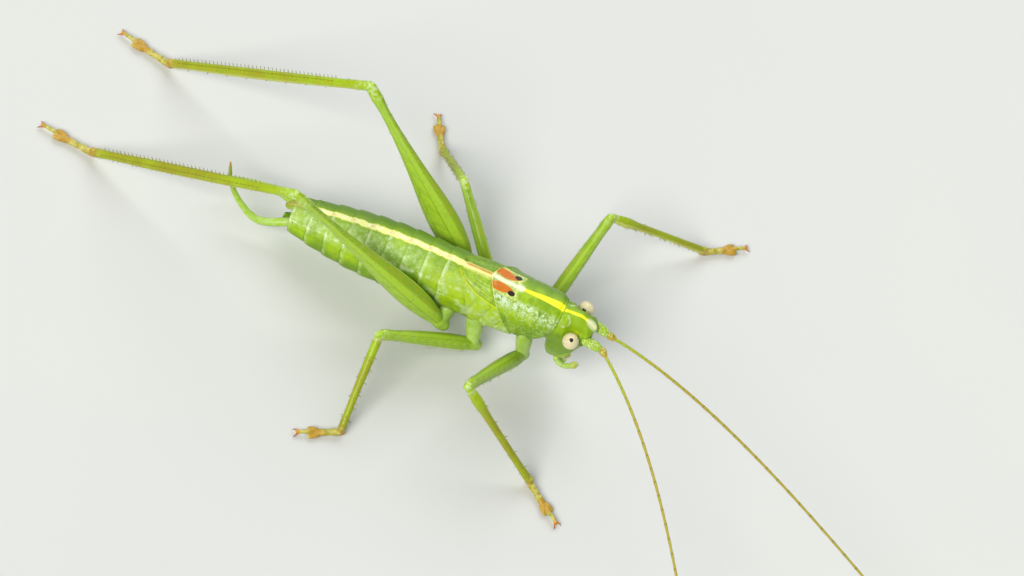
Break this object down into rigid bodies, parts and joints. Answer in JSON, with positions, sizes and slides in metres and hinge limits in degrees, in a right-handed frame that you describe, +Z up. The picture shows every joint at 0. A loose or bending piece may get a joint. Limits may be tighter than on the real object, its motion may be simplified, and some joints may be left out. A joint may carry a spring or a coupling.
{
  "type": "bush-cricket",
  "caption": "Small green bush-cricket standing with long hind legs trailing, short wing flaps and very long thread-like antennae.",
  "frame": {"origin": "on the floor, below the centre of the whole part's box", "axes": "+Z up from the floor; the head and antennae point towards -Y; the animal's left side is towards +X"},
  "size_m": [0.044, 0.06, 0.0068],
  "materials": {
    "green_skin": "satin, slightly translucent green skin",
    "shell": "glossy green shield with a yellow stripe and orange marks",
    "wing": "thin veined green wing flap with a yellow edge",
    "pale_skin": "pale translucent green skin",
    "olive_skin": "satin olive-green skin",
    "foot": "satin orange-yellow",
    "feeler": "matt olive-brown, finely ringed",
    "eye": "smooth glossy cream"
  },
  "bodies": {
    "root": {"abdomen_1": "green_skin", "abdomen_2": "green_skin", "abdomen_3": "green_skin", "abdomen_4": "green_skin", "abdomen_5": "green_skin", "abdomen_6": "green_skin", "abdomen_7": "green_skin", "antenna_left_1": "feeler", "antenna_left_2": "feeler", "antenna_left_3": "feeler", "antenna_right_1": "feeler", "antenna_right_2": "feeler", "antenna_right_3": "feeler", "cercus_left": "olive_skin", "cercus_right": "olive_skin", "coxa_left_front": "pale_skin", "coxa_left_hind": "pale_skin", "coxa_left_middle": "pale_skin", "coxa_right_front": "pale_skin", "coxa_right_hind": "pale_skin", "coxa_right_middle": "pale_skin", "eye_left": "eye", "eye_right": "eye", "femur_left_front": "green_skin", "femur_left_hind": "green_skin", "femur_left_middle": "green_skin", "femur_right_front": "green_skin", "femur_right_hind": "green_skin", "femur_right_middle": "green_skin", "head": "green_skin", "mouthparts": "pale_skin", "palp_left": "pale_skin", "palp_right": "pale_skin", "pronotum": "shell", "prothorax_underside": "pale_skin", "scape_left": "green_skin", "scape_right": "green_skin", "subgenital_plate": "pale_skin", "tail_plate": "green_skin", "tarsus_left_front": "foot", "tarsus_left_hind": "foot", "tarsus_left_middle": "foot", "tarsus_right_front": "foot", "tarsus_right_hind": "foot", "tarsus_right_middle": "foot", "tegmen_left": "wing", "tegmen_right": "wing", "thorax": "green_skin", "tibia_left_front": "olive_skin", "tibia_left_hind": "olive_skin", "tibia_left_middle": "olive_skin", "tibia_right_front": "olive_skin", "tibia_right_hind": "olive_skin", "tibia_right_middle": "olive_skin"}
  },
  "joints": []
}
